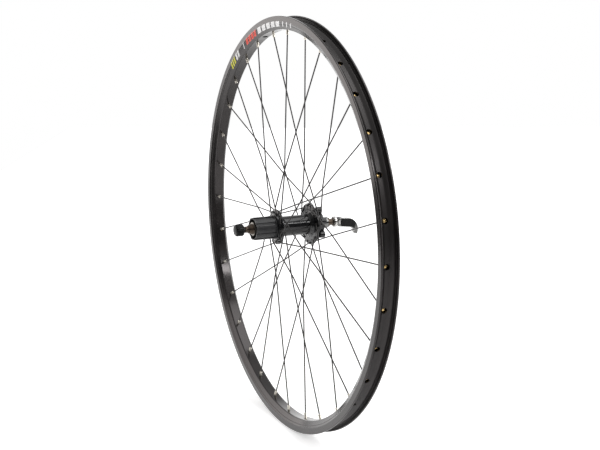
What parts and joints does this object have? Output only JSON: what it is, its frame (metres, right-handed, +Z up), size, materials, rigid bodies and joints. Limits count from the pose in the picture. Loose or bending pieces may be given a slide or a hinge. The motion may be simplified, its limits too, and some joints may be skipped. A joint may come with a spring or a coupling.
{
  "type": "bicycle wheel",
  "caption": "Rear bicycle wheel without a tyre: black double-wall rim, crossed spokes, disc-brake hub with splined freehub, and a quick-release skewer with cam lever.",
  "frame": {"origin": "the wheel's centre, on the axle, midway across the rim", "axes": "+Y along the axle towards the disc side, -Y the drive side, +Z up, +X the way the wheel rolls"},
  "size_m": [0.635, 0.2061, 0.6349],
  "materials": {
    "rim_black": "black anodised, semi-gloss",
    "spoke_black": "black oxide steel",
    "nipple_silver": "nickel plated",
    "hub_black": "black, glossy",
    "freehub_black": "black, satin",
    "steel": "bright",
    "dark_steel": "oil-blackened",
    "alloy": "polished",
    "grey_alloy": "grey, satin",
    "nut_black": "black, satin",
    "grip_black": "matte"
  },
  "bodies": {
    "axle": {"axle": "dark_steel", "bearings": "steel", "hub_sleeve": "alloy", "drive_sleeve": "alloy", "freehub_sleeve": "alloy", "drive_cap": "grey_alloy", "drive_locknut": "dark_steel", "disc_cap": "alloy", "disc_locknut": "dark_steel"},
    "wheel": {"rim": "rim_black", "drive_spokes_outside": "spoke_black", "drive_spokes_inside": "spoke_black", "disc_spokes_outside": "spoke_black", "disc_spokes_inside": "spoke_black", "drive_nipples": "nipple_silver", "disc_nipples": "nipple_silver", "hub_shell": "hub_black", "ratchet_ring": "steel"},
    "freehub": {"freehub_body": "freehub_black", "pawl_spring": "steel"},
    "pawl_1": {"pawl_1": "steel"},
    "pawl_2": {"pawl_2": "steel"},
    "pawl_3": {"pawl_3": "steel"},
    "skewer": {"skewer_rod": "steel", "cam_barrel": "steel"},
    "nut": {"skewer_nut": "nut_black", "nut_coil": "dark_steel"},
    "lever": {"lever": "alloy", "lever_grips": "grip_black"},
    "cup": {"cam_cup": "steel", "cup_coil": "dark_steel"}
  },
  "joints": [
    {"name": "wheel_spin", "type": "hinge", "parent": "axle", "child": "wheel", "pos_m": [0, 0, 0], "axis": [0, 1, 0], "continuous": true},
    {"name": "freehub_spin", "type": "hinge", "parent": "axle", "child": "freehub", "pos_m": [0, 0, 0], "axis": [0, 1, 0], "continuous": true},
    {"name": "pawl_1_fold", "type": "hinge", "parent": "freehub", "child": "pawl_1", "pos_m": [0, -0.0221, 0.0124], "axis": [0, 1, 0], "range_deg": [0, 18], "stiffness_Nm_per_rad": 0.02, "springref_deg": -5.73},
    {"name": "pawl_2_fold", "type": "hinge", "parent": "freehub", "child": "pawl_2", "pos_m": [0.01074, -0.0221, -0.0062], "axis": [0, 1, 0], "range_deg": [0, 18], "stiffness_Nm_per_rad": 0.02, "springref_deg": -5.73},
    {"name": "pawl_3_fold", "type": "hinge", "parent": "freehub", "child": "pawl_3", "pos_m": [-0.01074, -0.0221, -0.0062], "axis": [0, 1, 0], "range_deg": [0, 18], "stiffness_Nm_per_rad": 0.02, "springref_deg": -5.73},
    {"name": "skewer_turn", "type": "hinge", "parent": "axle", "child": "skewer", "pos_m": [0, 0, 0], "axis": [0, 1, 0], "continuous": true},
    {"name": "nut_turn", "type": "hinge", "parent": "skewer", "child": "nut", "pos_m": [0, 0, 0], "axis": [0, 1, 0], "continuous": true},
    {"name": "lever_swing", "type": "hinge", "parent": "skewer", "child": "lever", "pos_m": [0, 0.087, 0], "axis": [1, 0, 0], "range_deg": [-60, 95]},
    {"name": "cup_slide", "type": "slide", "parent": "skewer", "child": "cup", "axis": [0, 1, 0], "range_m": [-0.00085, 0.00135]}
  ],
  "couplings": [
    {"joint": "cup_slide", "follows": "lever_swing", "m_per_rad": 0.00076394}
  ]
}
